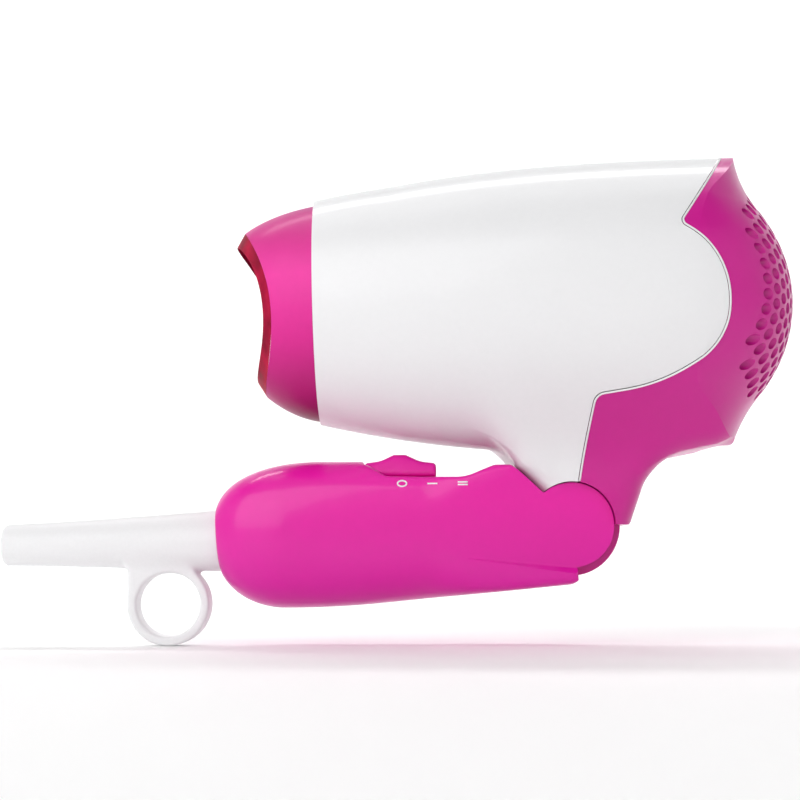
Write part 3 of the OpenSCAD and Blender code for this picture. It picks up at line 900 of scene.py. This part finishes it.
def nozzle():
    skin = solid("skin", *nozzle_rings(nozzle_skin))
    smooth(skin, angle=28)
    place(skin, "nozzle_skin", "body", MATERIALS["clear_nozzle"], "clear_nozzle", ["nozzle"])
    rim = solid("rim", *nozzle_rings(nozzle_bevel))
    smooth(rim, angle=28)
    # The rim takes the darker red copy of the nozzle plastic, which is painted shade.
    place(rim, "nozzle_rim", "body", MATERIALS["nozzle_edge_painted_shade"], "clear_nozzle")


# ---- handle --------------------------------------------------------------------------------------


def handle_inside(x, y, z):
    return handle_field(x, y, z) + HANDLE_WALL


HANDLE_WALL = 2.4
CHANNEL_W = 8.9                  # half the width of the channel for the switch knob
CHANNEL_FLOOR = 13.4
INK = 0.03                       # thickness of the printed marks
LEDGE_X = -30.0                  # the flat cheeks start here
LEDGE_TOP = -11.9
LEDGE_TAPER = 0.0524
LIP_CORNER = 17.6
# Cut off the end of the lip, so that it clears the neck when the handle is unfolded.
LIP_END = np.concatenate([arc((0, 0), CHEEK_R + 0.1, -84, -55, 8), [(8, -18), (1.7, -18)]])


def ledge_cutter(side):
    """What a flat, slightly tapering cheek leaves out beside the grip, down to a sloping ledge."""
    rings = []
    for x in (LEDGE_X, 20):
        cheek = GRIP_W - LEDGE_TAPER * (x - LEDGE_X)
        low = LEDGE_TOP - 0.09 * x
        section = [(cheek, low), (cheek, 30), (25, 30), (25, low - 25 + cheek)]
        rings.append([(x, side * y, z) for y, z in section])
    return loft("ledge_cutter", rings)


def lip_cutter(side):
    """The bevel on the upright corner of the lip's end."""
    corner = [(LIP_CORNER - 25, 25), (LIP_CORNER - 5, 5), (LIP_CORNER - 5, 25)]
    return loft("lip_cutter", [[(x, side * y, z) for x, y in corner] for z in (-30, LEDGE_TOP + 0.2)])


def handle():
    low, high = (-103, -19, -26), (15, 19, 21)
    grip = solid("grip", *surface_net(handle_field, low, high, 0.8))
    inside = solid("inside", *surface_net(handle_inside, low, high, 2))
    # The hollow stays clear of the cord's end, the hinge and the switch channel.
    keep = block("keep", (-88, -30, -30), (-17, 30, 10.8))
    combine(inside, keep, "INTERSECT")
    combine(grip, inside, "DIFFERENCE")
    slot_w = DRUM_W + GAP
    combine(grip, cylinder("drum_slot", (0, -slot_w, 0), (0, slot_w, 0), DRUM_R + GAP, 128), "DIFFERENCE")
    combine(grip, side_prism("lip_end", LIP_END, 40), "DIFFERENCE")
    channel = block("channel", (-58.1, -CHANNEL_W, CHANNEL_FLOOR), (-20.1, CHANNEL_W, 30))
    combine(grip, channel, "DIFFERENCE")
    stem = block("stem_slot", (SWITCH_X - 2.9, -2.1, 9), (SWITCH_X + SWITCH_TRAVEL + 2.9, 2.1, 30))
    combine(grip, stem, "DIFFERENCE")
    for side in (-1, 1):
        combine(grip, ledge_cutter(side), "DIFFERENCE")
        combine(grip, lip_cutter(side), "DIFFERENCE")
    combine(grip, cylinder("socket", relief_point(-12), relief_point(0.5), 8.8, 64), "DIFFERENCE")
    combine(grip, cylinder("throat", relief_point(-12), relief_point(8), 6.9, 64), "DIFFERENCE")
    pink = MATERIALS["pink_handle"]
    for side, name in ((-1, "left"), (1, "right")):
        half = duplicate(grip, name)
        near, far = sorted((side * 0.05, side * 60))
        combine(half, block("half", (-150, near, -60), (60, far, 60)), "INTERSECT")
        smooth(half, (handle_field,))
        place(half, "handle_shell_" + name, "handle", pink, "pink_handle", ["handle_half_" + name])
    discard(grip)


def slider():
    knob = solid("knob", *surface_net(slider_field, (-60, -10, 12), (-35, 10, 22), 0.4))
    stem = block("stem", (SWITCH_X - 2.5, -1.7, 8.5), (SWITCH_X + 2.5, 1.7, 14.5))
    combine(knob, stem, "UNION")
    smooth(knob, (slider_field,))
    place(knob, "switch_knob", "slider", MATERIALS["pink_handle"], "pink_handle", ["switch_slider"])


def surface_y(x, z):
    """Where the handle's near side is, at that length and height."""

    def outside(y):
        return handle_field(np.array([x]), np.array([y]), np.array([z]))[0] > 0

    return crossing(outside, -20.0, 0.0)


def ink_strip(name, loop, width):
    """A thin printed line that follows the handle's near side through a list of (x, z) points."""
    loop = np.array(loop, float)
    run = np.gradient(loop, axis=0)
    run /= np.linalg.norm(run, axis=1, keepdims=True)
    out = np.stack([-run[:, 1], run[:, 0]], axis=1) * width / 2
    points = []
    for edge in (loop + out, loop - out):
        points += [(x, surface_y(x, z) - INK, z) for x, z in edge]
    count = len(loop)
    faces = [(k, k + 1, count + k + 1, count + k) for k in range(count - 1)]
    strip = solid(name, points, faces)
    normal = sum((p.normal for p in strip.data.polygons), Vector())
    if normal.y > 0:
        strip.data.flip_normals()
    thick = strip.modifiers.new("ink", "SOLIDIFY")
    thick.thickness = INK * MM
    thick.offset = -1
    smooth(strip)
    place(strip, name, "handle", MATERIALS["white_ink"], "white_relief")


def marks():
    middle_z = 11.4
    angles = np.linspace(0, 2 * math.pi, 41)
    circle = [(SWITCH_X + 0.6 + 1.25 * math.cos(a), middle_z + 0.8 * math.sin(a)) for a in angles]
    ink_strip("mark_off", circle, 0.42)
    for name, step, heights in (("mark_low", 1, (0,)), ("mark_high", 2, (-0.36, 0.36))):
        for index, height in enumerate(heights):
            x = SWITCH_X + 0.6 + step * SWITCH_STEP
            line = [(x + dx, middle_z + height) for dx in np.linspace(-1.4, 1.4, 7)]
            ink_strip(f"{name}_{index}", line, 0.42)


def strain_relief():
    relief = solid("relief", *surface_net(relief_field, (-163, -10, -36), (-90, 10, 8), 0.7))
    combine(relief, cylinder("cord_hole", relief_point(-80), relief_point(20), 3.3, 48), "DIFFERENCE")
    smooth(relief, (relief_field,))
    place(relief, "cord_relief", "handle", MATERIALS["white_relief"], "white_relief", ["strain_relief"])


# ---- stage ---------------------------------------------------------------------------------------


def stage():
    """A pale round floor that curves up into a wall on every side."""
    reach, bend, height, columns = 2.4, 0.8, 2.6, 96
    side = [(0.01, 0.0), (reach - bend, 0.0)]
    turns = np.linspace(0, math.pi / 2, 24)[1:]
    side += [(reach - bend + bend * math.sin(a), bend - bend * math.cos(a)) for a in turns]
    side += [(reach, height)]
    angles = [2 * math.pi * k / columns for k in range(columns)]
    points = [(r * math.cos(a), r * math.sin(a), z) for r, z in side for a in angles]
    mesh = bpy.data.meshes.new("floor")
    mesh.from_pydata(points, [], grid_faces(len(side), columns) + [tuple(reversed(range(columns)))])
    mesh.shade_smooth()
    floor = bpy.data.objects.new("floor", mesh)
    bpy.context.scene.collection.objects.link(floor)
    paper = material(
        "floor_paper", (0.97, 0.97, 0.97), 0.7, grain=40, bump=0.0, tone=0.01,
        Emission_Color=(1, 1, 1, 1), Emission_Strength=0.08,
    )
    floor.data.materials.append(paper)


def softbox(name, location, target, size, power):
    """A soft rectangular light, in metres and watts, that faces the target."""
    light = bpy.data.lights.new(name, "AREA")
    light.shape = "RECTANGLE"
    light.size, light.size_y = size
    light.energy = power
    obj = bpy.data.objects.new(name, light)
    obj.location = location
    obj.rotation_euler = (Vector(target) - Vector(location)).to_track_quat("-Z", "Y").to_euler()
    bpy.context.scene.collection.objects.link(obj)


def lights():
    world = bpy.data.worlds.new("studio")
    world.use_nodes = True
    world.node_tree.nodes["Background"].inputs["Color"].default_value = (1, 1, 1, 1)
    world.node_tree.nodes["Background"].inputs["Strength"].default_value = 0.04
    bpy.context.scene.world = world
    centre = (0, 0, 0.07)
    softbox("key_box", (-0.77, -1.18, 0.8), centre, (1.5, 1.4), 12.5)
    softbox("top_box", (-0.3, -0.5, 1.2), centre, (1.2, 1.0), 1.5)
    softbox("strip_box", (0, 0.15, 2.0), centre, (1.6, 0.5), 3)
    softbox("backdrop_box", (0, 0.7, 1.4), (0, 1.5, 0.4), (1.6, 0.6), 22)


def camera():
    """In front of the dryer, a little below its middle and looking up."""
    pitch = math.radians(6.414)
    distance = 0.4205
    target = Vector((-0.00057, 0, 0.07033))
    ahead = Vector((0, math.cos(pitch), math.sin(pitch)))
    data = bpy.data.cameras.new("camera")
    data.sensor_width = 36
    data.lens = 65.25
    data.clip_start = 0.01
    obj = bpy.data.objects.new("camera", data)
    obj.location = target - distance * ahead
    obj.rotation_euler = ahead.to_track_quat("-Z", "Y").to_euler()
    bpy.context.scene.collection.objects.link(obj)
    bpy.context.scene.camera = obj


carry_over()
air_shells()
seam_rim()
nozzle()
handle()
slider()
marks()
strain_relief()
stage()
lights()
camera()
bpy.context.scene.view_settings.view_transform = "Standard"
